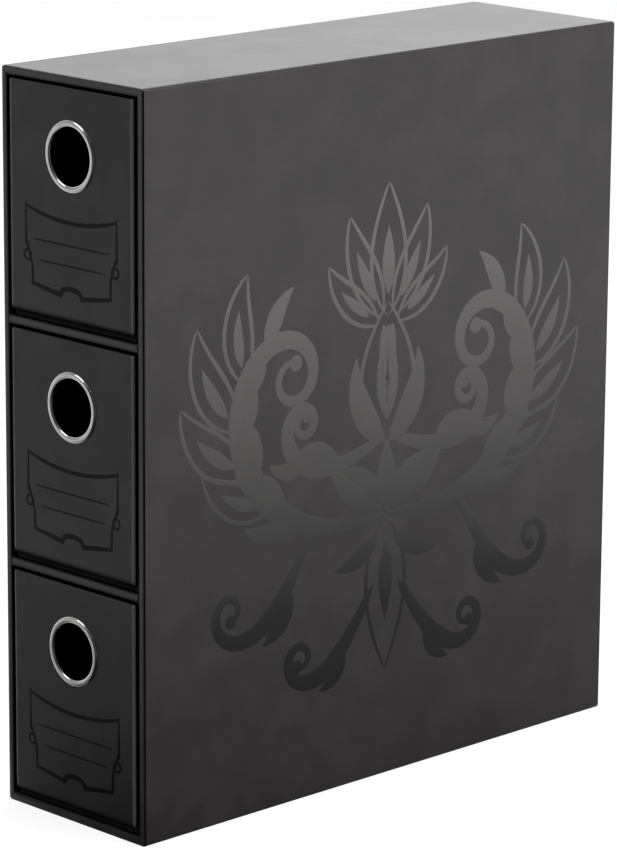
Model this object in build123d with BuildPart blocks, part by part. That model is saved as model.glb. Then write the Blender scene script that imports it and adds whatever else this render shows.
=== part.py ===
from build123d import *
from math import cos, radians, sin
import os

# A card drawer box: a tall case of covered board, open at the front, with two shelves and three drawers.
# The origin is at the middle of the base. +X is to the right, +Y into the depth, +Z up. Millimetres.

# Case: outside sizes, and the thickness of each board with its paper
case_width = 87.2
case_depth = 284.0
case_height = 320.0
case_board = 3.6
back_board = 3.6
shelf_board = 3.7
case_corner_radius = 1.5  # the shell's board folds round its long corners
edge_softening = 0.45  # the cover paper dulls the cut edges of a board
drawer_count = 3

# Drawers: boards, and the air that each drawer has in its bay
fascia_board = 2.4
wall_board = 2.2
base_board = 2.3
fascia_proud = 0.5  # a drawer front stands this far before the front of the case
gap_beside_fascia = 1.9
gap_above_fascia = 1.2
gap_below_fascia = 3.1
gap_beside_tray = 1.8
gap_below_tray = 0.3
gap_behind_tray = 1.0
gap_above_walls = 4.8
fascia_edge_radius = 0.9

# Finger ring: a spun eyelet through the fascia and the front wall, rolled over a washer at the back
ring_outer_radius = 15.3
finger_radius = 12.35
ring_sheet = 0.5
ring_below_fascia_top = 28.2
board_hole_radius = 13.1
rear_lip_radius = 1.2
washer_thickness = 0.5
bead_foot_angle = 30  # degrees round the bead's section from its side to where it meets the fascia
bead_flats = 12  # a full turn of the bead's rounded section, as flats; a third of them show
rear_lip_flats = 6

# Worked out from the sizes above
bay_width = case_width - 2 * case_board
shelves_total = (drawer_count - 1) * shelf_board
bay_height = (case_height - 2 * case_board - shelves_total) / drawer_count
bay_pitch = bay_height + shelf_board
bead_half_width = (ring_outer_radius - finger_radius) / 2
bead_radius = bead_half_width / cos(radians(bead_foot_angle))
bead_sunk = bead_radius * sin(radians(bead_foot_angle))  # its centre is this far behind the fascia's face
bead_height = bead_radius - bead_sunk
ring_proud = bead_height + fascia_proud
overall_depth = case_depth + ring_proud
front_y = ring_proud - overall_depth / 2
back_y = overall_depth / 2
shelf_depth = case_depth - back_board

fascia_width = bay_width - 2 * gap_beside_fascia
fascia_height = bay_height - gap_above_fascia - gap_below_fascia
fascia_front_y = front_y - fascia_proud
tray_front_y = fascia_front_y + fascia_board
tray_back_y = back_y - back_board - gap_behind_tray
tray_depth = tray_back_y - tray_front_y
tray_middle_y = (tray_front_y + tray_back_y) / 2
tray_width = bay_width - 2 * gap_beside_tray
cross_wall_width = tray_width - 2 * wall_board
wall_bottom = gap_below_tray + base_board
wall_height = bay_height - gap_above_walls - wall_bottom
ring_height = gap_below_fascia + fascia_height - ring_below_fascia_top
boards_under_ring = fascia_board + wall_board


def upright_plane(y, z):
    """A plane that faces the front: its x is to the right and its y is up."""
    return Plane(origin=(0, y, z), x_dir=(1, 0, 0), z_dir=(0, -1, 0))


def make_case_board(name, corners, along):
    """One wall of the shell. Its section is a strip with mitred ends, rounded where the shell folds."""
    with BuildPart() as board:
        with BuildSketch(upright_plane(front_y, case_height / 2)):
            with BuildLine():
                Polyline(*corners, close=True)
            make_face()
            RectangleRounded(case_width, case_height, case_corner_radius, mode=Mode.INTERSECT)
        extrude(amount=-case_depth)
        long_edges = board.edges().filter_by(along).group_by(Axis.Y)
        chamfer(long_edges[0] + long_edges[-1], length=edge_softening)
    board.part.label = name
    export_step(board.part, f"parts/{name}.step")


def make_shell():
    """The four mitred walls of the case."""
    outer_x = case_width / 2
    outer_z = case_height / 2
    inner_x = outer_x - case_board
    inner_z = outer_z - case_board
    for name, side in (("case_left_board", -1), ("case_right_board", 1)):
        corners = [
            (side * outer_x, -outer_z),
            (side * outer_x, outer_z),
            (side * inner_x, inner_z),
            (side * inner_x, -inner_z),
        ]
        make_case_board(name, corners, Axis.Z)
    for name, side in (("case_bottom_board", -1), ("case_top_board", 1)):
        corners = [
            (-outer_x, side * outer_z),
            (outer_x, side * outer_z),
            (inner_x, side * inner_z),
            (-inner_x, side * inner_z),
        ]
        make_case_board(name, corners, Axis.X)


def make_back():
    """The back board, let in between the four walls and flush with their rear edges."""
    with BuildPart() as back:
        with BuildSketch(upright_plane(back_y, case_height / 2)):
            Rectangle(bay_width, case_height - 2 * case_board)
        extrude(amount=back_board)
        chamfer(back.faces().sort_by(Axis.Y)[-1].edges(), length=edge_softening)
    back.part.label = "case_back_board"
    export_step(back.part, "parts/case_back_board.step")


def make_shelf(name, underside):
    """A shelf between the side boards, from the front of the case to the back board."""
    shelf_middle_y = front_y + shelf_depth / 2
    with BuildPart() as shelf:
        with BuildSketch(Plane(origin=(0, shelf_middle_y, underside))):
            Rectangle(bay_width, shelf_depth)
        extrude(amount=shelf_board)
        front_edges = shelf.edges().filter_by(Axis.X).group_by(Axis.Y)[0]
        chamfer(front_edges, length=edge_softening)
    shelf.part.label = name
    export_step(shelf.part, f"parts/{name}.step")


def make_base(drawer, bay_floor):
    """The base board of a drawer, under all four walls."""
    name = f"{drawer}_drawer_base"
    with BuildPart() as base:
        with BuildSketch(Plane(origin=(0, tray_middle_y, bay_floor + gap_below_tray))):
            Rectangle(tray_width, tray_depth)
        extrude(amount=base_board)
        chamfer(base.edges().filter_by(Axis.Z), length=edge_softening)
    base.part.label = name
    export_step(base.part, f"parts/{name}.step")


def make_side_wall(drawer, hand, side, bay_floor):
    """A long wall of a drawer, with its top edge and its two outer corners dulled by the paper."""
    name = f"{drawer}_drawer_{hand}_wall"
    wall_x = side * (tray_width - wall_board) / 2
    with BuildPart() as wall:
        with BuildSketch(Plane(origin=(wall_x, tray_middle_y, bay_floor + wall_bottom))):
            Rectangle(wall_board, tray_depth)
        extrude(amount=wall_height)
        outer_corners = wall.edges().filter_by(Axis.Z).group_by(Axis.X)[0 if side < 0 else -1]
        top_edges = wall.edges().filter_by(Axis.Y).group_by(Axis.Z)[-1]
        chamfer(outer_corners + top_edges, length=edge_softening)
    wall.part.label = name
    export_step(wall.part, f"parts/{name}.step")


def make_rear_wall(drawer, bay_floor):
    """The rear wall of a drawer, between the long walls."""
    name = f"{drawer}_drawer_rear_wall"
    with BuildPart() as wall:
        with BuildSketch(upright_plane(tray_back_y, bay_floor + wall_bottom + wall_height / 2)):
            Rectangle(cross_wall_width, wall_height)
        extrude(amount=wall_board)
        top_edges = wall.edges().filter_by(Axis.X).group_by(Axis.Z)[-1]
        chamfer(top_edges, length=edge_softening)
    wall.part.label = name
    export_step(wall.part, f"parts/{name}.step")


def make_front_wall(drawer, bay_floor):
    """The inner front wall of a drawer, between the long walls, with the hole for the ring's barrel."""
    name = f"{drawer}_drawer_front_wall"
    wall_middle = wall_bottom + wall_height / 2
    with BuildPart() as wall:
        with BuildSketch(upright_plane(tray_front_y, bay_floor + wall_middle)):
            Rectangle(cross_wall_width, wall_height)
            with Locations((0, ring_height - wall_middle)):
                Circle(board_hole_radius, mode=Mode.SUBTRACT)
        extrude(amount=-wall_board)
        top_edges = wall.edges().filter_by(Axis.X).group_by(Axis.Z)[-1]
        chamfer(top_edges, length=edge_softening)
    wall.part.label = name
    export_step(wall.part, f"parts/{name}.step")


def make_fascia(drawer, bay_floor):
    """The front panel of a drawer, glued over the tray, with soft edges and the hole for the barrel."""
    name = f"{drawer}_drawer_fascia"
    fascia_middle = gap_below_fascia + fascia_height / 2
    with BuildPart() as fascia:
        with BuildSketch(upright_plane(fascia_front_y, bay_floor + fascia_middle)):
            Rectangle(fascia_width, fascia_height)
            with Locations((0, ring_height - fascia_middle)):
                Circle(board_hole_radius, mode=Mode.SUBTRACT)
        extrude(amount=-fascia_board)
        outline = fascia.faces().sort_by(Axis.Y)[0].outer_wire().edges()
        fillet(outline, radius=fascia_edge_radius)
    fascia.part.label = name
    export_step(fascia.part, f"parts/{name}.step")


def make_ring(drawer, bay_floor):
    """The finger ring: a rounded front bead, a barrel through both boards, and a rear lip rolled outwards.

    In the section x is the distance from the hole's axis, and y is the depth behind the fascia's face.
    """
    name = f"{drawer}_drawer_finger_ring"
    ring_centre = (0, fascia_front_y, bay_floor + ring_height)
    barrel_end = boards_under_ring + washer_thickness
    corner = (Align.MIN, Align.MIN)
    with BuildPart() as ring:
        with BuildSketch(Plane(origin=ring_centre)):
            with Locations((finger_radius + bead_half_width, bead_sunk)):
                RegularPolygon(bead_radius, bead_flats)
            with Locations((finger_radius + rear_lip_radius, barrel_end)):
                RegularPolygon(rear_lip_radius, rear_lip_flats)
            Rectangle(2 * ring_outer_radius, barrel_end, align=corner, mode=Mode.SUBTRACT)
            with Locations((finger_radius, 0)):
                Rectangle(ring_sheet, barrel_end, align=corner)
        revolve(axis=Axis(ring_centre, (0, 1, 0)))
    ring.part.label = name
    export_step(ring.part, f"parts/{name}.step")


def make_washer(drawer, bay_floor):
    """The washer behind the front wall, under the rolled rear lip of the ring."""
    name = f"{drawer}_drawer_ring_washer"
    washer_front_y = fascia_front_y + boards_under_ring
    with BuildPart() as washer:
        with BuildSketch(upright_plane(washer_front_y, bay_floor + ring_height)):
            Circle(ring_outer_radius)
            Circle(board_hole_radius, mode=Mode.SUBTRACT)
        extrude(amount=-washer_thickness)
    washer.part.label = name
    export_step(washer.part, f"parts/{name}.step")


def make_drawer(drawer, bay_floor):
    """All the pieces of one drawer, standing in its bay."""
    make_base(drawer, bay_floor)
    make_side_wall(drawer, "left", -1, bay_floor)
    make_side_wall(drawer, "right", 1, bay_floor)
    make_rear_wall(drawer, bay_floor)
    make_front_wall(drawer, bay_floor)
    make_fascia(drawer, bay_floor)
    make_ring(drawer, bay_floor)
    make_washer(drawer, bay_floor)


os.makedirs("parts", exist_ok=True)
make_shell()
make_back()
make_shelf("lower_shelf", case_board + bay_height)
make_shelf("upper_shelf", case_board + bay_height + bay_pitch)
for level, drawer in enumerate(("bottom", "middle", "top")):
    make_drawer(drawer, case_board + level * bay_pitch)
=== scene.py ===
import bmesh
import bpy
import math
import numpy as np
from mathutils import Matrix, Vector


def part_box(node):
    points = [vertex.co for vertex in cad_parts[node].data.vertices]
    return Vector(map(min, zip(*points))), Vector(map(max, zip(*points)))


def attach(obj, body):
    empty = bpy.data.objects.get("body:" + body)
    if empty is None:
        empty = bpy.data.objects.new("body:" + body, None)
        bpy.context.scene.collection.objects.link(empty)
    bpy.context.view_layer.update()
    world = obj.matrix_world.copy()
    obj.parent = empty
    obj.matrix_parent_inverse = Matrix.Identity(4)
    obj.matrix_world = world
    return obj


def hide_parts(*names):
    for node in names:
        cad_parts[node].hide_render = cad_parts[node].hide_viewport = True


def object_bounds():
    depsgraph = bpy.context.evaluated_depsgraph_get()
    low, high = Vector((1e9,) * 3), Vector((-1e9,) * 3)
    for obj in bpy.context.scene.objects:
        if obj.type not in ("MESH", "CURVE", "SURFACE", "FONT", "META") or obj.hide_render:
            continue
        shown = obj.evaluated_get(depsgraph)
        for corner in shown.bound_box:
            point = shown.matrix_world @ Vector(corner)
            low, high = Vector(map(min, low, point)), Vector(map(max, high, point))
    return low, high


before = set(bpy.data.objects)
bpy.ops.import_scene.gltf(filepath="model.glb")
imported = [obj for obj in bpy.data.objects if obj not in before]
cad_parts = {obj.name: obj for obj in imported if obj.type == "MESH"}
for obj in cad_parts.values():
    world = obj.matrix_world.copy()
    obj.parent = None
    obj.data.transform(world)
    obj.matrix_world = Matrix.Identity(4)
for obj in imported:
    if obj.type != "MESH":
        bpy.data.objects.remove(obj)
cadBox = [list(corner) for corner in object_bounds()]
mm = 0.001
print("frame loaded:", len(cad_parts), "nodes")


def nodeBox(name):
    # lowest and highest corner of a CAD node, as arrays in metres
    low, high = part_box(name)
    return np.array(low), np.array(high)


rightLow, rightHigh = nodeBox("case_right_board")
shelfLow, shelfHigh = nodeBox("lower_shelf")
frontY, backY = rightLow[1], rightHigh[1]  # front and rear rims of the case
sideX = rightHigh[0]  # outer face of the right side
tall = cadBox[1][2]
board = rightHigh[0] - rightLow[0]
shelfFoot, shelfThick = shelfLow[2], shelfHigh[2] - shelfLow[2]
fasciaY, fasciaFoot = nodeBox("bottom_drawer_fascia")[0][1:]
bayPitch = nodeBox("upper_shelf")[0][2] - shelfFoot

xAxis, yAxis, zAxis = np.eye(3)

meshing = {
    "guards": (0.25 * mm, 0.9 * mm),  # extra points on a straight run, this far from its round corner
    "weld": 0.001 * mm,
    "sharp": 40,  # degrees between two faces from which their shared edge stays sharp
}


def ringPath(halfWide, halfTall, cornerRound, steps=10, fill=0):
    # Once round a rectangle with round corners: corner centre + radius * (cos, sin) on four quarter turns.
    # The guard points lie on the straight runs close to each quarter, so that a flat stays flat when shaded
    # smooth, and fill more points divide what is left of each straight run.
    turn = np.linspace(0, np.pi / 2, steps + 1) + np.arange(4)[:, None] * np.pi / 2
    centre = np.array([[1, 1], [-1, 1], [-1, -1], [1, -1]]) * [halfWide - cornerRound, halfTall - cornerRound]
    arc = centre[:, None] + cornerRound * np.stack([np.cos(turn), np.sin(turn)], -1)
    along = np.stack([-np.sin(turn), np.cos(turn)], -1)
    far = np.array(meshing["guards"])[:, None]
    before = arc[:, :1] - far[::-1] * along[:, :1]
    after = arc[:, -1:] + far * along[:, -1:]
    share = np.linspace(0, 1, fill + 2)[1:-1, None]
    between = after[:, -1:] + share * (np.roll(before[:, :1], -1, 0) - after[:, -1:])
    return np.concatenate([before, arc, after, between], 1).reshape(-1, 2)


def quarterTurn(edgeRound, steps, spread=1.0):
    # a quarter of an ellipse from the flat of an edge to its side: (spread r (1 - sin a), r (1 - cos a))
    turn = np.linspace(0, np.pi / 2, steps + 1)
    return edgeRound * np.stack([spread * (1 - np.sin(turn)), 1 - np.cos(turn)], 1)


def edgeProfile(thick, frontRound, rearRound, steps=6, guard=0.4 * mm):
    # from the front face over the edge of a board to its rear face, as (inset, depth)
    front = quarterTurn(frontRound, steps)
    rear = quarterTurn(rearRound, steps)[::-1] * [1, -1] + [0, thick]
    return np.concatenate([[[frontRound + guard, 0]], front, rear, [[rearRound + guard, thick]]])


def ringsOn(profile, halfWide, halfTall, cornerRound, innerRound=0.0, **points):
    # one ring for each (inset, depth) of the profile: rows, points, (across, up, deep)
    rows = []
    for inset, depth in profile:
        flat = ringPath(halfWide - inset, halfTall - inset, max(cornerRound - inset, innerRound), **points)
        rows.append(np.column_stack([flat, np.full(len(flat), depth)]))
    return np.array(rows)


def placed(local, origin, across=xAxis, up=zAxis, deep=yAxis):
    # (across, up, deep) to the row frame
    return np.asarray(origin) + local @ np.array([across, up, deep])


def lathed(profile, centre, steps):
    # a closed profile (radius, depth) turned round the line along y through the centre
    turn = np.linspace(0, 2 * np.pi, steps, endpoint=False)
    radius, depth = profile[:, :1], profile[:, 1:]
    still = np.ones_like(turn)
    return placed(np.stack([radius * np.cos(turn), radius * np.sin(turn), depth * still], -1), centre)


def gridFaces(rows, columns, rowsClose, columnsClose):
    # a quad between each two neighbouring rows and columns, and in a closed direction from last to first
    row = np.arange(rows if rowsClose else rows - 1)[:, None] * columns
    below = np.roll(np.arange(rows), -1)[: len(row), None] * columns
    left = np.arange(columns if columnsClose else columns - 1)
    right = np.roll(np.arange(columns), -1)[: len(left)]
    return np.stack([row + left, row + right, below + right, below + left], -1).reshape(-1, 4)


def newPiece(name, grids, material, body, stoodFor=()):
    # Each grid of points is one closed surface. It closes round its columns, and either its rows close too,
    # or its first and last rows are capped.
    points, faces, start = [], [], 0
    for grid, rowsClose in grids:
        rows, columns = grid.shape[:2]
        faces += (gridFaces(rows, columns, rowsClose, True) + start).tolist()
        if not rowsClose:
            faces.append((np.arange(columns)[::-1] + start).tolist())
            faces.append((np.arange(columns) + (rows - 1) * columns + start).tolist())
        points.append(grid.reshape(-1, 3))
        start += rows * columns
    mesh = bpy.data.meshes.new(name)
    mesh.from_pydata(np.concatenate(points), [], faces)
    work = bmesh.new()
    work.from_mesh(mesh)
    bmesh.ops.remove_doubles(work, verts=work.verts, dist=meshing["weld"])
    bmesh.ops.recalc_face_normals(work, faces=work.faces)
    work.to_mesh(mesh)
    work.free()
    mesh.materials.append(material)
    mesh.shade_smooth()
    mesh.set_sharp_from_angle(angle=math.radians(meshing["sharp"]))
    piece = bpy.data.objects.new(name, mesh)
    bpy.context.scene.collection.objects.link(piece)
    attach(piece, body)
    if stoodFor:
        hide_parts(*stoodFor)


class Flow:
    # A node's output that takes part in sums. Each sum adds a Math node.
    def __init__(self, paint, node, name=0):
        self.paint = paint
        self.node = node
        self.socket = paint.find(node.outputs, name) if node.outputs else None

    def out(self, name):
        return Flow(self.paint, self.node, name)

    def sum(self, operation, *values):
        # this value alone, or the values in their order
        return self.paint.add("ShaderNodeMath", {"operation": operation}, dict(enumerate(values or (self,))))

    def __add__(self, other):
        return self.sum("ADD", self, other)

    def __sub__(self, other):
        return self.sum("SUBTRACT", self, other)

    def __rsub__(self, other):
        return self.sum("SUBTRACT", other, self)

    def __mul__(self, other):
        return self.sum("MULTIPLY", self, other)

    def __truediv__(self, other):
        return self.sum("DIVIDE", self, other)

    def __abs__(self):
        return self.sum("ABSOLUTE", self)

    __radd__ = __add__
    __rmul__ = __mul__

    def most(self, other):
        return self.sum("MAXIMUM", self, other)

    def least(self, other):
        return self.sum("MINIMUM", self, other)

    def root(self):
        return self.sum("SQRT", self)

    def slope(self, start, end):
        # straight from 0 at start to 1 at end
        return self.paint.add("ShaderNodeMapRange", {}, {"Value": self, "From Min": start, "From Max": end})

    def ramp(self, start, end, low=0.0, high=1.0):
        # from low at start to high at end, eased at both
        sockets = {"Value": self, "From Min": start, "From Max": end, "To Min": low, "To Max": high}
        return self.paint.add("ShaderNodeMapRange", {"interpolation_type": "SMOOTHSTEP"}, sockets)

    def fall(self, start, end, high=1.0):
        # from high at start to 0 at end, eased at both
        return self.ramp(start, end, high, 0.0)


deadBlack = (0.003, 0.003, 0.003, 1)  # creases and gaps that no light gets into


class Paint:
    # A node tree filled by one method: a node's type, its settings, then its sockets.
    def __init__(self, owner):
        self.owner = owner
        owner.use_nodes = True
        self.tree = owner.node_tree
        self.tree.nodes.clear()

    def find(self, sockets, name):
        if isinstance(name, int):
            return sockets[name]
        return next(socket for socket in sockets if name in (socket.identifier, socket.name))

    def add(self, kind, settings=None, sockets=None):
        node = self.tree.nodes.new(kind)
        for name, value in (settings or {}).items():
            setattr(node, name, value)
        for name, value in (sockets or {}).items():
            socket = self.find(node.inputs, name)
            if isinstance(value, Flow):
                self.tree.links.new(value.socket, socket)
            else:
                socket.default_value = value
        return Flow(self, node)

    def mix(self, amount, first, second):
        sockets = {"Factor_Float": amount, "A_Color": first, "B_Color": second}
        return self.add("ShaderNodeMix", {"data_type": "RGBA"}, sockets).out("Result_Color")

    def here(self):
        return self.add("ShaderNodeTexCoord").out("Object")

    def axes(self):
        parts = self.add("ShaderNodeSeparateXYZ", {}, {"Vector": self.here()})
        return parts.out("X"), parts.out("Y"), parts.out("Z")

    def noise(self, scale, detail=3.0, rough=0.55, bend=0.0):
        # scale is in cycles a metre along each axis
        place = self.add("ShaderNodeMapping", {}, {"Vector": self.here(), "Scale": scale})
        sockets = {"Vector": place, "Scale": 1.0, "Detail": detail, "Roughness": rough, "Distortion": bend}
        return self.add("ShaderNodeTexNoise", {}, sockets)

    def surface(self, color, rough, height, bump, fixed, dark=None):
        # dark is where painted shade turns the surface to a dead black
        normal = self.add("ShaderNodeBump", {}, {"Height": height, "Distance": bump})
        sockets = {"Base Color": color, "Roughness": rough, "Normal": normal}
        shader = self.add("ShaderNodeBsdfPrincipled", {}, sockets | fixed)
        if dark:
            dead = self.add("ShaderNodeBsdfDiffuse", {}, {"Color": deadBlack})
            shader = self.add("ShaderNodeMixShader", {}, {0: dark, 1: shader, 2: dead})
        self.add("ShaderNodeOutputMaterial", {}, {"Surface": shader})
        return self.owner


def even(scale):
    return (scale, scale, scale)


def every(z, foot):
    # the height over the foot of the bay's own fascia or shelf: the fraction of (z - foot) / pitch, in metres
    return ((z - foot) / bayPitch).sum("FRACT") * bayPitch


# Where the painted shades and the painted highlight of the cover lie. Each pair is where one starts and where
# it ends.
caseShade = {
    "arrisShadeWidth": (0.05 * mm, 0.6 * mm),  # painted shade: the front arris of the sides is painted black
    "arrisShadeDepth": (0.6 * mm, 1.2 * mm),
    "cornerShadeWidth": (0.3 * mm, 1.0 * mm),  # painted shade: the long corners are painted darker
    "cornerShadeLevel": 0.5,
    "sheenStart": (0.6 * mm, 1.2 * mm),  # painted highlight: a paler band is painted round the rims
    "sheenEnd": (1.3 * mm, 2.4 * mm),
    "sheenDepth": (0.3 * mm, 0.8 * mm),
    "sheenAmount": 0.25,
    "paintedSheen": (0.085, 0.08, 0.081, 1),
    "rimDepth": (0.5 * mm, 1.5 * mm),  # the shades that follow end this far behind the face of the rims
    "rimShadeStart": (2.2 * mm, board),  # painted shade: the rims are painted black towards the bays
    "rimShadeEnd": (board + 0.2 * mm, board + 0.4 * mm),
    "shelfTop": (shelfThick + 0.2 * mm, shelfThick + 0.6 * mm),  # but not where a shelf meets them
    "shelfEnd": (board - 0.1 * mm, board + 1.6 * mm),
    "shelfJoin": 0.4,
    "shelfFootShade": (0.1 * mm, 1.9 * mm),  # painted shade: the lower edge of a shelf is painted dark
    "shelfFootShadeDark": 0.6,
    "shelfHeadShade": (2.9 * mm, shelfThick),  # and so is its upper edge
    "shelfHeadShadeDark": 0.4,
    "shelfShadeInset": (board, board + 0.5 * mm),
    "liningShadeInset": (board - 0.3 * mm, board),  # the bays' black lining, painted still darker towards a dead black as shade
    "liningShadeDepth": (0.6 * mm, 1.6 * mm),
    "liningShade": 0.85,
}
frontShade = {
    "sheenFrom": (36.5 * mm, 37.3 * mm),  # painted highlight: the upright edges are painted paler from here, in the edge colour
    "edge": (0.13, 0.128, 0.128, 1),
    "foot": (0.0, 2.9 * mm),  # painted shade: the lower edge, which rolls away from the light, is painted darker
    "footDark": 0.92,
    "sides": (0.6 * mm, 1.1 * mm),  # painted shade: the edges are painted black from this far behind the face, inside the gap
}


def shadeCase(paint, color):
    # gives back the cover's colour with a painted highlight on its rims, and where painted shade darkens it
    at = caseShade
    x, y, z = paint.axes()
    fromSide, fromEnd = sideX - abs(x), tall / 2 - abs(z - tall / 2)
    fromFront, fromBack = y - frontY, backY - y
    inset = fromSide.least(fromEnd)
    onRim = fromFront.fall(*at["rimDepth"])
    # painted highlight: a paler band round the rims
    paintedSheen = inset.ramp(*at["sheenStart"]) * inset.fall(*at["sheenEnd"])
    paintedSheen = paintedSheen * fromFront.fall(*at["sheenDepth"], at["sheenAmount"])
    # painted shade on the front arris of the sides
    arrisShade = fromSide.fall(*at["arrisShadeWidth"]) * fromFront.fall(*at["arrisShadeDepth"])
    # painted shade along the long corners
    cornerShade = fromSide.fall(*at["cornerShadeWidth"]) * fromEnd.fall(*at["cornerShadeWidth"]) * at["cornerShadeLevel"]
    overShelf = every(z, shelfFoot)
    onShelf = overShelf.fall(*at["shelfTop"]) * inset.ramp(*at["shelfEnd"], at["shelfJoin"], 1.0)
    # painted shade where the rims turn into the bays, less where a shelf meets them
    inner = inset.ramp(*at["rimShadeStart"]) * inset.fall(*at["rimShadeEnd"]) * onRim * (1 - onShelf)
    # painted shade on the lower and upper edges of the shelves
    foot = overShelf.fall(*at["shelfFootShade"], at["shelfFootShadeDark"])
    head = overShelf.ramp(*at["shelfHeadShade"], 0.0, at["shelfHeadShadeDark"])
    under = foot.most(head) * inset.ramp(*at["shelfShadeInset"]) * onRim
    # the black lining of the bays, painted darker still as shade
    liningShade = inset.ramp(*at["liningShadeInset"], 0.0, at["liningShade"]) * fromFront.ramp(*at["liningShadeDepth"])
    liningShade = liningShade * fromBack.ramp(*at["liningShadeInset"])
    # all painted shade, mixed towards a dead black
    dark = arrisShade.most(cornerShade).most(inner).most(liningShade).most(under)
    return paint.mix(paintedSheen, color, at["paintedSheen"]), dark


def shadeFront(paint, color):
    # gives back the drawer front's colour with a painted highlight on its upright edges, and where painted
    # shade darkens it
    at = frontShade
    x, y, z = paint.axes()
    # painted shade on the lower edge of each drawer front
    foot = every(z, fasciaFoot).fall(*at["foot"], at["footDark"])
    # painted shade: black on the edges inside the gap
    sides = (y - fasciaY).ramp(*at["sides"])
    # painted highlight: the upright edges painted paler
    return paint.mix(abs(x).ramp(*at["sheenFrom"]), color, at["edge"]), foot.most(sides)


film = {
    "patch": 2.7,  # small clouds to one large cloud
    "cloudShare": 0.65,
    "tone": (0.38, 0.64),  # the clouds' noise at the deep and at the pale colour
    "coarse": 0.3,  # coarse grains to one fine grain
    "fineShare": 0.6,
    "paleRough": -0.015,  # what the pale colour and the grain add to the roughness
    "grainRough": 0.06,
}


def paperPaint(name, look, shades=None):
    # A clouded film over paper: a large and a small cloud in colour, a fine and a coarse grain in height.
    paint = Paint(bpy.data.materials.new(name))
    cloud = paint.noise(even(look["cloud"]), 4.0, 0.6, 0.4)
    patch = paint.noise(even(look["cloud"] * film["patch"]), 2.0)
    tone = (cloud * film["cloudShare"] + patch * (1 - film["cloudShare"])).ramp(*film["tone"])
    color, dark = paint.mix(tone, look["deep"], look["pale"]), None
    if shades:
        color, dark = shades(paint, color)
    grain = paint.noise(even(look["grain"]), 2.0, 0.6)
    coarse = paint.noise(even(look["grain"] * film["coarse"]), 2.0, 0.5)
    rough = tone * film["paleRough"] + grain * film["grainRough"] + look["rough"]
    height = grain * film["fineShare"] + coarse * (1 - film["fineShare"])
    return paint.surface(color, rough, height, look["height"], {"Specular IOR Level": look["gloss"]}, dark)


caseCoverLook = {
    "pale": (0.046, 0.0405, 0.041, 1),
    "deep": (0.032, 0.028, 0.0286, 1),
    "cloud": 24.0,  # clouds and grains are in cycles a metre
    "grain": 2600.0,
    "height": 0.006 * mm,
    "rough": 0.27,
    "gloss": 0.5,
}
frontCoverLook = {
    "pale": (0.030, 0.0293, 0.0295, 1),
    "deep": (0.021, 0.0205, 0.0206, 1),
    "cloud": 30.0,
    "grain": 2200.0,
    "height": 0.006 * mm,
    "rough": 0.34,
    "gloss": 0.4,
}
liningPaperLook = {
    "pale": (0.018, 0.0176, 0.0178, 1),
    "deep": (0.011, 0.0108, 0.0109, 1),
    "cloud": 60.0,
    "grain": 1500.0,
    "height": 0.03 * mm,
    "rough": 0.86,
    "gloss": 0.12,
}
caseCover = paperPaint("caseCover", caseCoverLook, shadeCase)
frontCover = paperPaint("frontCover", frontCoverLook, shadeFront)
liningPaper = paperPaint("liningPaper", liningPaperLook)


def metalPaint(name, look):
    # plated metal with fine turning marks, which are noise packed along the depth, and faint finger smears
    paint = Paint(bpy.data.materials.new(name))
    mark = paint.noise(look["marks"], 3.0, 0.6)
    smear = paint.noise(even(look["smears"]), 3.0, 0.6)
    tone = paint.mix(smear.ramp(*look["smeared"]), look["bright"], look["dull"])
    rough = mark * look["turning"] + smear * look["smearRough"] + look["rough"]
    return paint.surface(tone, rough, mark, look["height"], {"Metallic": 1.0})


ringMetalLook = {
    "bright": (0.8, 0.79, 0.78, 1),
    "dull": (0.7, 0.69, 0.68, 1),
    "marks": (500.0, 9000.0, 500.0),  # cycles a metre along each axis
    "smears": 160.0,
    "smeared": (0.35, 0.7),  # the smears' noise at the bright and at the dull colour
    "rough": 0.05,
    "turning": 0.06,  # what the marks and the smears add to the roughness
    "smearRough": 0.08,
    "height": 0.0006 * mm,
}
washerMetalLook = ringMetalLook | {
    "bright": (0.56, 0.55, 0.53, 1),
    "dull": (0.45, 0.44, 0.42, 1),
    "rough": 0.28,
    "turning": 0.2,
    "height": 0.002 * mm,
}
ringMetal = metalPaint("ringMetal", ringMetalLook)
washerMetal = metalPaint("washerMetal", washerMetalLook)


def varnishPaint(name, look):
    # a print in varnish whose tone changes from its foot to its head; on the side print this change is a
    # painted reflection, pale at the head and near black at the foot
    paint = Paint(bpy.data.materials.new(name))
    z = paint.axes()[2]
    haze = paint.noise(even(look["haze"]), 3.0, 0.55)
    fine = paint.noise(even(look["fine"]), 2.0)
    place = z + haze * look["waver"] - look["waver"] / 2
    color = paint.mix(place.slope(look["footZ"], look["headZ"]), look["foot"], look["head"])
    rough = fine * look["fineRough"] + look["rough"]
    return paint.surface(color, rough, fine, look["height"], {"Specular IOR Level": look["gloss"]})


labelVarnishLook = {
    "foot": (0.002, 0.002, 0.002, 1),
    "head": (0.003, 0.003, 0.003, 1),
    "footZ": 0.0,
    "headZ": tall,
    "haze": 60.0,
    "waver": 0.02,  # how far up and down the haze moves the change of tone
    "fine": 1800.0,
    "fineRough": 0.06,
    "height": 0.002 * mm,
    "rough": 0.4,
    "gloss": 0.15,
}
sideVarnishLook = labelVarnishLook | {
    # painted reflection: the ornament is real varnish print, painted pale at its head and near black at its
    # foot
    "foot": (0.004, 0.004, 0.004, 1),
    "head": (0.2, 0.19, 0.187, 1),
    "footZ": 0.085,
    "headZ": 0.262,
    "rough": 0.3,
    "gloss": 0.5,
}
labelVarnish = varnishPaint("labelVarnish", labelVarnishLook)
sideVarnish = varnishPaint("sideVarnish", sideVarnishLook)
print("materials made")

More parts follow.
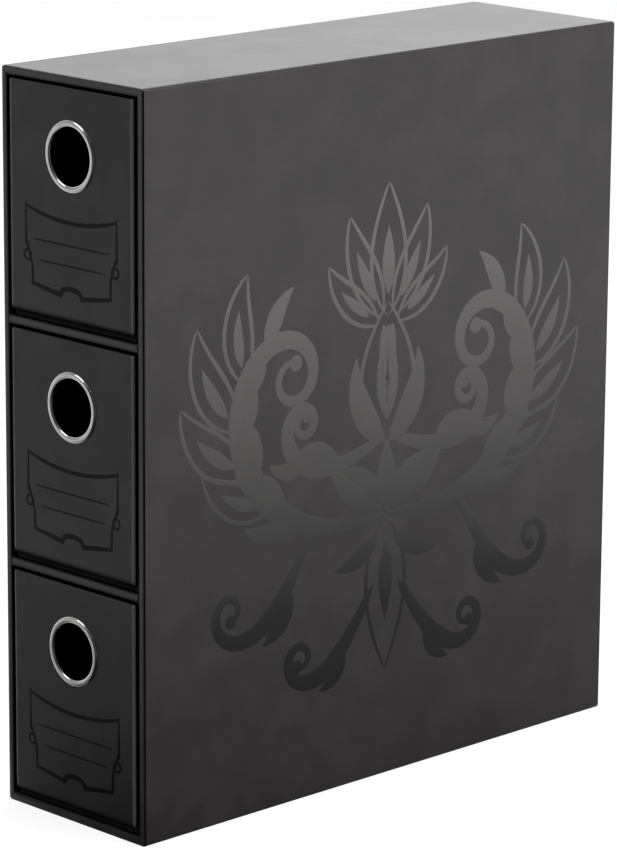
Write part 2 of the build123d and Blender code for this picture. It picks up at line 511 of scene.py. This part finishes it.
shell = {
    "foldRound": 1.5 * mm,  # the long corners, where the board folds
    "rimRound": 0.75 * mm,  # cut edges under the paper
    "rimGuard": 0.35 * mm,  # the flats beside a round edge have an extra line this far from it
    "innerRound": 0.3 * mm,  # the corners of the rims' inner edge
    "innerSpread": 2.0,  # the rim's inner edge is this much wider on the front than it is deep
    "printRoom": 0.03 * mm,  # the side print stands on the cover and ends at the case's own size
    "turnIn": 18 * mm,  # cover paper folded in over the lining
    "paper": 0.15 * mm,
    "seamDepth": 0.14 * mm,  # mitred folds of the paper on the rims
    "seamWidth": 0.2 * mm,
    "seamReach": 0.5 * mm,  # from the face of a rim
    "shelfGuard": 2 * mm,  # a shelf has an extra line this far from each end
    "panelRound": 0.6 * mm,  # edges of the back panel
}


def makeShell():
    # The four walls: a board's section, as (inset, y), carried once round the case. Over each corner of a rim
    # runs a mitred seam: y moves in by depth * exp(-(distance from the diagonal / width) squared).
    rim, room = shell["rimRound"], shell["printRoom"]
    inner = board + shell["paper"]
    guard = shell["rimGuard"]
    quarter = quarterTurn(rim, 8)
    wide = quarterTurn(rim, 8, shell["innerSpread"])
    step = frontY + shell["turnIn"]
    profile = np.concatenate(
        [
            quarter + [room, frontY],
            [[room, frontY + rim + guard], [room, backY - rim - guard]],
            quarter[::-1] * [1, -1] + [room, backY],
            [[room + rim + guard, backY], [board - rim - guard, backY]],
            quarter * [-1, -1] + [board, backY],
            [[board, backY - rim - guard], [board, step + shell["paper"]], [inner, step]],
            [[inner, frontY + rim + guard]],
            wide[::-1] * [-1, 1] + [inner, frontY],
            [[inner - wide[0, 0] - guard, frontY], [room + rim + guard, frontY]],
        ]
    )
    walls = ringsOn(profile, sideX, tall / 2, shell["foldRound"], shell["innerRound"], steps=16)
    across, up, deep = np.moveaxis(walls, -1, 0)
    fromSide, fromEnd = sideX - abs(across), tall / 2 - abs(up)
    fromDiagonal = (fromSide - fromEnd) / math.sqrt(2)
    seam = shell["seamDepth"] * np.exp(-((fromDiagonal / shell["seamWidth"]) ** 2))
    onFront = np.exp(-(((deep - frontY) / shell["seamReach"]) ** 2))
    onBack = np.exp(-(((deep - backY) / shell["seamReach"]) ** 2))
    walls[..., 2] += seam * (onFront - onBack)
    boards = ("case_left_board", "case_right_board", "case_top_board", "case_bottom_board")
    newPiece("caseShell", [(placed(walls, (0, 0, tall / 2)), True)], caseCover, "case", boards)


def boardGrid(low, high, edgeRound, deep=yAxis, up=zAxis):
    # A board with all its edges softened: rings that follow the edge profile from one face to the other.
    middle = (low + high) / 2
    half = (high - low) / 2
    across = np.cross(up, deep)
    sizes = [float(abs(half @ axis)) for axis in (across, up, deep)]
    profile = edgeProfile(2 * sizes[2], edgeRound, edgeRound, guard=min(0.4 * mm, sizes[2] / 2))
    rings = ringsOn(profile, sizes[0], sizes[1], edgeRound, steps=6)
    return placed(rings, middle - sizes[2] * deep, across, up, deep)


def makeShelf(name, node):
    # The section of a covered board with a round front edge, as (y, z), carried across the case.
    low, high = nodeBox(node)
    rear, thick = high[1:] - low[1:]
    guard, reach = shell["rimGuard"], shell["rimRound"] + shell["rimGuard"]
    quarter = quarterTurn(shell["rimRound"], 8)[:, ::-1]
    wide = quarterTurn(shell["rimRound"], 8, shell["innerSpread"])[:, ::-1]
    section = np.concatenate(
        [
            [[rear, 0], [reach, 0]],
            wide[::-1],
            [[0, wide[0, 1] + guard], [0, thick - reach]],
            quarter * [1, -1] + [0, thick],
            [[reach, thick], [rear, thick]],
        ]
    )
    ends = np.array([low[0], low[0] + shell["shelfGuard"], high[0] - shell["shelfGuard"], high[0]])
    still = np.ones((len(ends), len(section)))
    deep, up = low[1] + section[:, 0], low[2] + section[:, 1]
    grid = np.stack([ends[:, None] * still, deep * still, up * still], -1)
    newPiece(name, [(grid, False)], caseCover, "case", (node,))


def makeBackPanel():
    panel = boardGrid(*nodeBox("case_back_board"), shell["panelRound"])
    newPiece("caseBackPanel", [(panel, False)], caseCover, "case", ("case_back_board",))


makeShell()
makeBackPanel()
makeShelf("lowerShelfCover", "lower_shelf")
makeShelf("upperShelfCover", "upper_shelf")
print("case covered")

drawer = {
    "fasciaRound": 0.9 * mm,
    "fasciaRear": 0.25 * mm,
    "rollReach": 3.2 * mm,  # the cover rolls away softly over this much above its lower edge
    "rollDepth": 0.45 * mm,
    "faceRings": (4.2 * mm, 3.2 * mm, 2.6 * mm, 2.0 * mm, 1.6 * mm),  # from the edge in, where the roll bends
    "frontWallRounds": (0.2 * mm, 0.5 * mm),  # against the fascia, and inside the drawer
    "leastCorner": 0.5 * mm,  # of a front or front wall
    "holeRadius": 13.1 * mm,
    "holeRim": 0.5 * mm,  # a flat line round the hole
    "wallRound": 0.6 * mm,
    "wallGuard": 0.25 * mm,
    "innerCorner": 0.2 * mm,  # where two walls meet inside
    "baseRound": 0.5 * mm,
    "turnIn": 14 * mm,  # cover paper folded in over the tops of the walls
    "paper": 0.15 * mm,
}


def holedGrid(low, high, hole, frontRound, rearRound):
    # A board round a hole: out from the hole over the front face, round the edge, and back to the hole
    # behind. A point of a ring and the hole's point in the same direction from its centre share a column.
    middle, half = (low + high) / 2, (high - low) / 2
    face = np.array([(inset, 0) for inset in drawer["faceRings"]])
    profile = np.concatenate([face, edgeProfile(2 * half[1], frontRound, rearRound, steps=8)])
    corner = max(frontRound, drawer["leastCorner"])
    rings = ringsOn(profile, half[0], half[2], corner, steps=8, fill=24)
    centre = np.array([hole[0] - middle[0], hole[2] - middle[2]])
    ray = rings[0, :, :2] - centre
    ray = ray / np.linalg.norm(ray, axis=1, keepdims=True)
    radii = (drawer["holeRadius"], drawer["holeRadius"] + drawer["holeRim"])
    rows = [np.column_stack([centre + ray * radius, np.zeros(len(ray))]) for radius in radii]
    behind = [row + [0, 0, 2 * half[1]] for row in rows[::-1]]
    return placed(np.concatenate([rows, rings, behind]), (middle[0], low[1], middle[2]))


def wallsGrid(low, high, thick):
    # Three walls in one: the section of a wall, as (inset, height), carried from the front of the right wall
    # round the rear to the front of the left wall. The paper turned in over the top ends in a step.
    edgeRound, guard = drawer["wallRound"], drawer["wallGuard"]
    quarter = quarterTurn(edgeRound, 6)
    height, depth = high[2] - low[2], high[1] - low[1]
    step = height - drawer["turnIn"]
    thin = thick - drawer["paper"]
    section = np.concatenate(
        [
            [[0, 0], [0, height - edgeRound - guard]],
            quarter[::-1] * [1, -1] + [0, height],
            quarter * [-1, -1] + [thick, height],
            [[thick, height - edgeRound - guard], [thick, step], [thin, step - drawer["paper"]], [thin, 0]],
        ]
    )
    columns = []
    for inset, up in section:
        corner = max(edgeRound - inset, drawer["innerCorner"])
        loop = ringPath(high[0] - inset, depth - inset, corner, steps=8)
        path = np.concatenate([[[high[0] - inset, 0]], loop[: len(loop) // 2], [[inset - high[0], 0]]])
        columns.append(np.column_stack([path[:, 0], low[1] + path[:, 1], np.full(len(path), low[2] + up)]))
    return np.swapaxes(np.array(columns), 0, 1)


ring = {
    "finger": 12.35 * mm,  # the hole that a finger goes through
    "outer": 15.1 * mm,
    "sheet": 0.5 * mm,
    "rearLip": 1.2 * mm,
    "barrelGuard": 0.3 * mm,
    "steps": 160,
    "washerRound": 0.1 * mm,
    "washerSteps": 96,
}


def ringProfile(proud, barrelEnd):
    # (radius, depth) of the spun ring: a half ellipse in front, the straight barrel, a half circle rolled
    # outwards behind, and back along the outside of the barrel
    turn = np.linspace(0, np.pi, 25)
    half = (ring["outer"] - ring["finger"]) / 2
    bead = np.stack([ring["outer"] - half + half * np.cos(turn), -proud * np.sin(turn)], 1)
    lip = ring["finger"] + ring["rearLip"] * (1 - np.cos(turn))
    rear = np.stack([lip, barrelEnd + ring["rearLip"] * np.sin(turn)], 1)
    barrel = np.linspace(ring["barrelGuard"], barrelEnd - ring["barrelGuard"], 4)
    inner = np.stack([np.full(4, ring["finger"]), barrel], 1)
    outside = ring["finger"] + ring["sheet"]
    return np.concatenate([bead, inner, rear, [[outside, barrelEnd], [outside, 0]]])


pen = {
    "sunk": 0.02 * mm,  # the foot of a line of varnish is this far inside the cover
    "crown": 0.6,  # the lower, the flatter is its top
    "sharpest": 0.5,  # a line gets no wider than one over this where it turns a corner
}


def penStroke(path, widths, thick, closed=False):
    # A line of varnish: along the path each section is a low crown over a flat foot,
    # (width / 2 * cos a, thick * sin a ^ crown), and the line turns corners on their bisectors.
    run = np.roll(path, -1, 0) - path
    if not closed:
        run[-1] = run[-2]
    run = run / np.linalg.norm(run, axis=1, keepdims=True)
    last = np.roll(run, 1, 0)
    if not closed:
        last[0] = run[0]
    mean = run + last
    mean = mean / np.linalg.norm(mean, axis=1, keepdims=True)
    square = np.stack([-mean[:, 1], mean[:, 0]], 1)
    stretch = 1 / np.maximum((mean * run).sum(1), pen["sharpest"])
    turn = np.linspace(0, np.pi, 7)
    side = np.concatenate([[1], np.cos(turn), [-1]]) / 2
    rise = np.concatenate([[-pen["sunk"]], thick * np.sin(turn).clip(0) ** pen["crown"], [-pen["sunk"]]])
    across = path[:, None] + square[:, None] * (stretch * widths)[:, None, None] * side[:, None]
    return np.concatenate([across, np.broadcast_to(rise[:, None], across.shape[:2] + (1,))], -1)


# The label frame. Heights are from the top of the drawer front. A line's width is its thin part and what it
# gains towards its thick part.
label = {
    "halfWide": 28.5 * mm,
    "top": -51.7 * mm,
    "sag": 4.4 * mm,
    "topLine": (1.1 * mm, 0.8 * mm),
    "rules": ((-65.6 * mm, 24.1 * mm), (-74.2 * mm, 20.3 * mm)),  # height and half width of each ruled line
    "ruleLine": (0.35 * mm, 0.45 * mm),
    "sideX": 28.2 * mm,
    "sideTop": -50.5 * mm,
    "sideLong": 18.4 * mm,
    "sideLine": (0.7 * mm, 0.8 * mm),
    "eyelet": (27.2 * mm, -72.8 * mm),
    "eyeletRadius": 2.1 * mm,
    "eyeletLine": 1.2 * mm,
    "waistX": (28.2 * mm, 25.9 * mm, 24.4 * mm, 24.2 * mm),  # the frame narrows beside and below its eyelets
    "waistShares": (0, 0.3, 0.55, 1),
    "waistZ": (-66.5 * mm, -84.8 * mm),
    "waistLine": 1.5 * mm,
    "foot": -84.4 * mm,
    "footX": (24.7 * mm, 5.8 * mm),
    "footDrop": 2.7 * mm,
    "footLine": (1.6 * mm, 0.8 * mm),
    "archHalf": 6.364 * mm,
    "archRise": 3.4 * mm,
    "archLine": 2.3 * mm,
    "thick": 0.05 * mm,
}


def labelStrokes():
    # A sagging top line, sides that end in eyelets, a stepped foot with an arch, and two ruled lines. Each is
    # (path, widths, closed), and what stands on one side is mirrored.
    across, down = np.linspace(-1, 1, 33), np.linspace(0, 1, 17)
    arch, turn = np.linspace(0, np.pi, 17), np.linspace(0, 2 * np.pi, 24, endpoint=False)

    def swelling(line, share):
        thin, more = label[line]
        return thin + more * share

    top = np.stack([across * label["halfWide"], label["top"] - label["sag"] * (1 - across**2)], 1)
    archZ = label["foot"] - label["footDrop"] + label["archRise"] * np.sin(arch) ** 0.7
    archPath = np.stack([-label["archHalf"] * np.cos(arch), archZ], 1)
    strokes = [(top, swelling("topLine", 1 - across**4), False)]
    strokes.append((archPath, label["archLine"] + 0 * arch, False))
    for height, half in label["rules"]:
        rule = np.stack([across * half, height + 0 * across], 1)
        strokes.append((rule, swelling("ruleLine", 1 - across**8), False))
    side = np.stack([label["sideX"] + 0 * down, label["sideTop"] - label["sideLong"] * down], 1)
    eyelet = label["eyelet"] + label["eyeletRadius"] * np.stack([np.cos(turn), np.sin(turn)], 1)
    waistX = np.interp(down, label["waistShares"], label["waistX"])
    waist = np.stack([waistX, np.interp(down, [0, 1], label["waistZ"])], 1)
    foot = np.stack([np.interp(down, [0, 1], label["footX"]), label["foot"] - label["footDrop"] * down], 1)
    for mirror in (-1, 1):
        flip = np.array([mirror, 1])
        strokes.append((side * flip, swelling("sideLine", down**0.5), False))
        strokes.append((eyelet * flip, label["eyeletLine"] + 0 * turn, True))
        strokes.append((waist * flip, label["waistLine"] + 0 * down, False))
        strokes.append((foot * flip, swelling("footLine", down), False))
    return strokes


labelLines = labelStrokes()


def makeFront(body, title, hole):
    node = body + "_fascia"
    low, high = nodeBox(node)
    face = holedGrid(low, high, hole, drawer["fasciaRound"], drawer["fasciaRear"])
    fromFoot = (1 - (face[..., 2] - low[2]) / drawer["rollReach"]).clip(0, 1)
    front = face[..., 1] < low[1] + drawer["fasciaRound"] / 2
    face[..., 1] += drawer["rollDepth"] * fromFoot**2 * front
    newPiece(title + "Front", [(face, True)], frontCover, body, (node,))


def makeTray(body, title, hole):
    node = body + "_front_wall"
    inner = holedGrid(*nodeBox(node), hole, *drawer["frontWallRounds"])
    newPiece(title + "FrontWall", [(inner, True)], liningPaper, body, (node,))
    stoodFor = tuple(f"{body}_{side}_wall" for side in ("left", "right", "rear"))
    left, right = nodeBox(stoodFor[0]), nodeBox(stoodFor[1])
    walls = wallsGrid(left[0], right[1], right[1][0] - right[0][0])
    newPiece(title + "Walls", [(walls, False)], liningPaper, body, stoodFor)
    node = body + "_base"
    base = boardGrid(*nodeBox(node), drawer["baseRound"], deep=zAxis, up=yAxis)
    newPiece(title + "Base", [(base, False)], liningPaper, body, (node,))


def makeRing(body, title, hole):
    node = body + "_finger_ring"
    faceY = nodeBox(body + "_fascia")[0][1]
    low, high = nodeBox(body + "_ring_washer")
    profile = ringProfile(faceY - nodeBox(node)[0][1], high[1] - faceY)
    spun = lathed(profile, (hole[0], faceY, hole[2]), ring["steps"])
    newPiece(title + "Ring", [(spun, True)], ringMetal, body, (node,))
    edge = ring["washerRound"]
    outline = edgeProfile(high[1] - low[1], edge, edge, steps=3, guard=edge)
    outer = np.stack([ring["outer"] - outline[:, 0], outline[:, 1]], 1)
    inner = np.stack([drawer["holeRadius"] + outline[::-1, 0], outline[::-1, 1]], 1)
    flat = lathed(np.concatenate([outer, inner]), (hole[0], low[1], hole[2]), ring["washerSteps"])
    newPiece(title + "Washer", [(flat, True)], washerMetal, body, (body + "_ring_washer",))


def makeLabel(body, title, hole):
    low, high = nodeBox(body + "_fascia")
    lines = []
    for path, widths, closed in labelLines:
        local = penStroke(path, widths, label["thick"], closed)
        lines.append((placed(local, (hole[0], low[1], high[2]), xAxis, zAxis, -yAxis), closed))
    newPiece(title + "Label", lines, labelVarnish, body)


def makeDrawer(level):
    body, title = level + "_drawer", level + "Drawer"
    low, high = nodeBox(body + "_finger_ring")
    hole = (low + high) / 2
    makeFront(body, title, hole)
    makeTray(body, title, hole)
    makeRing(body, title, hole)
    makeLabel(body, title, hole)


for level in ("bottom", "middle", "top"):
    makeDrawer(level)
print("drawers built")

# The ornament on the right side. All sizes of the motif are in millimetres, and angles in degrees.
sidePrint = {
    "centreY": 0.3 * mm,
    "centreZ": 157 * mm,
    "fineLine": 2.2,  # outlines of the open leaves
    "leastLine": 0.15,
    "leafFat": 0.42,  # where along its length a leaf is widest
    "vein": (5, 22),  # the steps of an open leaf that the small leaf inside it covers
    "veinShare": 0.36,  # of the open leaf's width
    "scrollStart": 0.06,  # a scroll swells up over this share of its length
    "scrollFat": 0.4,
}


def penLine(start, heading, length, bends, steps=40):
    # A line from its bends, in degrees of turn a whole length, which it meets one after the other.
    # The heading is the sum of the turn so far, and the place the sum of (cos, sin) of the heading.
    share = np.linspace(0, 1, steps)
    turn = np.interp(share, np.linspace(0, 1, len(bends)), bends) / (steps - 1)
    way = np.radians(heading + np.concatenate([[0], np.cumsum((turn[1:] + turn[:-1]) / 2)]))
    step = length / (steps - 1) * np.stack([np.cos(way), np.sin(way)], 1)
    return np.array(start) + np.concatenate([[[0, 0]], np.cumsum((step[1:] + step[:-1]) / 2, 0)])


def leafWidth(width, steps):
    # width * sin(pi * share ^ k) ^ 0.9, with k set so that the leaf is widest at leafFat
    share = np.linspace(0, 1, steps) ** (math.log(0.5) / math.log(sidePrint["leafFat"]))
    return np.maximum(width * np.sin(np.pi * share).clip(0) ** 0.9, sidePrint["leastLine"])


def solidLeaf(start, heading, length, bends, width):
    return [(penLine(start, heading, length, bends, 28), leafWidth(width, 28))]


def openLeaf(start, heading, length, bends, width):
    # two outlines, half a leaf's width to each side of its middle line, and a small leaf between them
    middle = penLine(start, heading, length, bends, 32)
    along = np.gradient(middle, axis=0)
    along = along / np.linalg.norm(along, axis=1, keepdims=True)
    square = np.stack([-along[:, 1], along[:, 0]], 1)
    half = leafWidth(width, len(middle))[:, None] / 2
    swell = np.sin(np.linspace(0, np.pi, len(middle))).clip(0) ** 0.35
    line = np.maximum(sidePrint["fineLine"] * swell, sidePrint["leastLine"])
    vein = middle[slice(*sidePrint["vein"])]
    veinWidth = leafWidth(width * sidePrint["veinShare"], len(vein))
    return [(middle + square * half, line), (middle - square * half, line), (vein, veinWidth)]


def scroll(start, heading, length, bends, widths, knob):
    # A pen line that swells and thins out, and ends in a round knob. Gives back its path and its strokes.
    path = penLine(start, heading, length, bends, 120)
    share = np.linspace(0, 1, len(path))
    swell = (share / sidePrint["scrollStart"]).clip(0.02, 1) ** 0.5
    width = np.interp(share, [0, sidePrint["scrollFat"], 1], widths) * swell
    turn = np.linspace(0, np.pi, 15)
    across = path[-1] + np.stack([-knob * np.cos(turn), 0 * turn], 1)
    return path, [(path, width), (across, np.maximum(2 * knob * np.sin(turn), sidePrint["leastLine"]))]


def sprouting(path, leaves):
    # the leaves of a scroll, each from its share of the scroll's length and at its angle to it
    drawn = []
    for makeLeaf, share, angle, length, bends, width in leaves:
        at = int(round(share * (len(path) - 1)))
        along = path[at + 1] - path[at - 1]
        heading = math.degrees(math.atan2(along[1], along[0])) + angle
        drawn += makeLeaf(path[at], heading, length, bends, width)
    return drawn


# the leaves that stand alone: start, heading, length, bends, width
middleLeaves = (
    (openLeaf, (0, -2), 90, 58, (0, 0), 32),  # the bud
    (solidLeaf, (0, 4), 90, 42, (0, 0), 13),
    (openLeaf, (0, 50), 90, 58, (0, 0), 21),  # the palmette
    (openLeaf, (0, -40), 270, 68, (0, 0), 24),  # the hanging leaf
    (solidLeaf, (0, -38), 90, 34, (0, 0), 12),
)
rightLeaves = (
    (openLeaf, (4, 50), 62, 50, (-10, 50), 16),
    (openLeaf, (6, 47), 34, 42, (-10, 80), 13),
    (solidLeaf, (5, -46), 312, 30, (30, 80), 9),
    (solidLeaf, (3, 46), 250, 30, (40, 60), 9),
    (solidLeaf, (1, -6), 38, 46, (40, 90), 13),
    (solidLeaf, (2, -34), 58, 34, (-20, -90), 9),
    (solidLeaf, (3, -36), 26, 44, (10, 70), 10),
)
# and those that leave a scroll: share of its length, angle to it, length, bends, width
mainLeaves = (
    (openLeaf, 0.31, -36, 46, (30, 70), 16),
    (openLeaf, 0.40, -44, 52, (30, 70), 18),
    (openLeaf, 0.49, -46, 54, (30, 70), 18),
    (openLeaf, 0.57, -48, 48, (30, 70), 16),
    (solidLeaf, 0.65, -50, 30, (30, 60), 9),
    (solidLeaf, 0.22, -36, 36, (30, 60), 11),
    (solidLeaf, 0.28, 42, 30, (-50, -110), 9),
    (solidLeaf, 0.38, 44, 36, (-50, -110), 11),
    (solidLeaf, 0.47, 44, 32, (-50, -110), 10),
    (solidLeaf, 0.55, 46, 24, (-50, -110), 8),
)
innerLeaves = (
    (solidLeaf, 0.24, 44, 30, (-30, -90), 11),
    (solidLeaf, 0.42, -42, 22, (30, 90), 8),
)
upperLeaves = ((solidLeaf, 0.25, -38, 30, (60, 90), 10),)
lowerLeaves = ((solidLeaf, 0.30, -38, 24, (60, 90), 8),)


def ornament():
    # A traditional symmetric ornament: a palmette over a bud, held by two scrolls with leaves along them, and
    # below it a hanging leaf between two pairs of smaller scrolls.
    middle = [stroke for makeLeaf, *shape in middleLeaves for stroke in makeLeaf(*shape)]
    half = [stroke for makeLeaf, *shape in rightLeaves for stroke in makeLeaf(*shape)]
    main, drawn = scroll((0, -38), -10, 236, (110, 180, 250, 420, 1000, 1900), (5.0, 13.5, 2.6), 3.6)
    half += drawn + sprouting(main, mainLeaves)
    inner, drawn = scroll((2, -3), -24, 118, (40, 90, 240, 560, 1200, 1700), (4.0, 9.5, 2.4), 3.2)
    half += drawn + sprouting(inner, innerLeaves)
    upper, drawn = scroll(main[22], -52, 112, (-60, 40, 240, 640, 1500), (3.5, 9.0, 2.3), 3.0)
    half += drawn + sprouting(upper, upperLeaves)
    lower, drawn = scroll((8, -69), -60, 100, (60, 20, 260, 760, 1500), (3.5, 9.0, 2.3), 3.0)
    half += drawn + sprouting(lower, lowerLeaves)
    return middle + half + [(path * [-1, 1], width) for path, width in half]


def makeSidePrint():
    origin = (sideX - shell["printRoom"], sidePrint["centreY"], sidePrint["centreZ"])
    grids = []
    for path, width in ornament():
        local = penStroke(path * mm, width * mm, shell["printRoom"])
        grids.append((placed(local, origin, yAxis, zAxis, xAxis), False))
    newPiece("sidePrint", grids, sideVarnish, "case")


makeSidePrint()
print("side print laid")

# What gloss sees of the room is bright behind and on the right, dark towards the front right, where the
# camera stands, and bright again on the left. Each pair is where a change starts and where it ends.
diagonal = 0.7  # what a step along x or y comes to in the direction midway between them

floorLook = {
    "reach": 8.0,
    "paint": (0.35, 0.35, 0.35, 1),
    "shadowed": 0.83,  # what the camera sees of the floor with no light on it
    "away": (0.1, 1.0),  # gloss sees the floor brighter away from the object
    "awayLevel": 0.74,
    "right": (-1.0, 0.8),
    "rightLow": 0.36,
    "front": (0.03, 0.35),  # and darker close to the front
    "frontLow": 0.3,
    "frontLevel": 0.29,
    "unlit": (-0.7, -0.2),
    "unlitLevel": 0.08,
    "left": (0.25, 0.6),
    "leftLevel": 1.0,
    "leftEdge": (-0.1, 0.0),
}
roomLook = {
    "ambient": 0.3,  # what the room sends to matt surfaces
    "dim": 0.3,  # what gloss sees in front and overhead
    "behind": (0.5, 0.78),
    "right": (0.2, 0.9),
    "rightLevel": 0.8,
    "unlit": (-0.7, -0.2),
    "unlitLevel": 0.08,
    "left": (0.15, 0.5),
    "leftLevel": 0.75,
}


def makeFloor():
    look, half = floorLook, floorLook["reach"]
    corners = [(-half, -half, 0), (half, -half, 0), (half, half, 0), (-half, half, 0)]
    mesh = bpy.data.meshes.new("floor")
    mesh.from_pydata(corners, [], [(0, 1, 2, 3)])
    paint = Paint(bpy.data.materials.new("paleFloor"))
    rays = paint.add("ShaderNodeLightPath")
    x, y = paint.axes()[:2]
    ahead = y - frontY
    fromFront = (x * x + ahead * ahead).root()
    turned = (ahead - x) * diagonal / fromFront  # from -1 at the front right to 1 at the rear left
    right = (x * diagonal + y * diagonal).ramp(*look["right"], look["rightLow"], 1.0)
    level = (x * x + y * y).root().ramp(*look["away"]) * right * look["awayLevel"]
    level = level + fromFront.ramp(*look["front"], look["frontLow"], 1.0) * look["frontLevel"]
    left = turned.ramp(*look["left"], 0.0, look["leftLevel"]) * x.fall(*look["leftEdge"])
    level = (level * turned.ramp(*look["unlit"], look["unlitLevel"], 1.0)).most(left)
    seen = rays.out("Is Camera Ray").most(rays.out("Is Transmission Ray")) * look["shadowed"]
    matt = paint.add("ShaderNodeBsdfDiffuse", {}, {"Color": look["paint"]})
    glow = paint.add("ShaderNodeEmission", {}, {"Color": (1, 1, 1, 1), "Strength": seen})
    both = paint.add("ShaderNodeAddShader", {}, {0: matt, 1: glow})
    gloss = paint.add("ShaderNodeEmission", {}, {"Color": (1, 1, 1, 1), "Strength": level})
    whole = paint.add("ShaderNodeMixShader", {}, {0: rays.out("Is Glossy Ray"), 1: both, 2: gloss})
    paint.add("ShaderNodeOutputMaterial", {}, {"Surface": whole})
    mesh.materials.append(paint.owner)
    floor = bpy.data.objects.new("floor", mesh)
    bpy.context.scene.collection.objects.link(floor)


def makeWorld():
    # white to the camera and through glass, and another room to gloss and to matt surfaces
    look = roomLook
    world = bpy.data.worlds.new("studio")
    bpy.context.scene.world = world
    paint = Paint(world)
    rays = paint.add("ShaderNodeLightPath")
    direction = paint.add("ShaderNodeTexCoord").out("Generated")
    parts = paint.add("ShaderNodeSeparateXYZ", {}, {"Vector": direction})
    x, y = parts.out("X"), parts.out("Y")
    turned = (y - x) * diagonal
    behind = y.ramp(*look["behind"], look["dim"], 1.0)
    right = x.ramp(*look["right"], look["dim"], look["rightLevel"])
    front = turned.ramp(*look["unlit"], look["unlitLevel"], 1.0)
    left = turned.ramp(*look["left"], 0.0, look["leftLevel"])
    seen = rays.out("Is Camera Ray").most(rays.out("Is Transmission Ray"))
    glossy = (behind.most(right) * front).most(left) * rays.out("Is Glossy Ray")
    matt = (1 - rays.out("Is Glossy Ray")) * look["ambient"]
    strength = seen.most(glossy).most(matt)
    back = paint.add("ShaderNodeBackground", {}, {"Color": (1, 1, 1, 1), "Strength": strength})
    paint.add("ShaderNodeOutputWorld", {}, {"Surface": back})


lamps = {
    "key": {"place": (1.5, 0.5, 1.5), "size": 1.2, "power": 23.0},
    "top": {"place": (-0.3, 0.6, 1.9), "size": 1.2, "power": 12.0},
    "fill": {"place": (-0.8, -1.5, 1.8), "size": 1.0, "power": 10.0},
    "rear": {"place": (-1.4, 1.6, 0.62), "size": 1.1, "power": 2.2},
}


def makeLamp(name, place, size, power):
    data = bpy.data.lights.new(name, "AREA")
    data.shape = "SQUARE"
    data.size = size
    data.energy = power
    lamp = bpy.data.objects.new(name, data)
    lamp.location = place
    aim = Vector((0, 0, tall / 2)) - Vector(place)
    lamp.rotation_mode = "QUATERNION"
    lamp.rotation_quaternion = aim.to_track_quat("-Z", "Y")
    bpy.context.scene.collection.objects.link(lamp)


eye = {
    "azimuth": 45.565,  # degrees from the front towards the right side
    "elevation": 13.75,
    "roll": 0.39,
    "distance": 1.830,
    "aim": (-0.00446, -0.00006, 0.1500),
    "lens": 176.25,
    "sensor": 36.0,
}


def makeCamera():
    # The camera stands along (sin a cos e, -cos a cos e, sin e) and is turned a little about its own axis.
    a, e, roll = (math.radians(eye[key]) for key in ("azimuth", "elevation", "roll"))
    back = Vector((math.sin(a) * math.cos(e), -math.cos(a) * math.cos(e), math.sin(e)))
    level = Vector((math.cos(a), math.sin(a), 0))
    rise = back.cross(level)
    right = math.cos(roll) * level + math.sin(roll) * rise
    data = bpy.data.cameras.new("camera")
    data.lens = eye["lens"]
    data.sensor_width = eye["sensor"]
    camera = bpy.data.objects.new("camera", data)
    camera.location = Vector(eye["aim"]) + back * eye["distance"]
    camera.rotation_mode = "QUATERNION"
    camera.rotation_quaternion = Matrix((right, back.cross(right), back)).transposed().to_quaternion()
    bpy.context.scene.collection.objects.link(camera)
    bpy.context.scene.camera = camera


makeFloor()
makeWorld()
for name, lamp in lamps.items():
    makeLamp(name, **lamp)
makeCamera()
bpy.context.scene.view_settings.view_transform = "Standard"
print("floor, light and camera set")
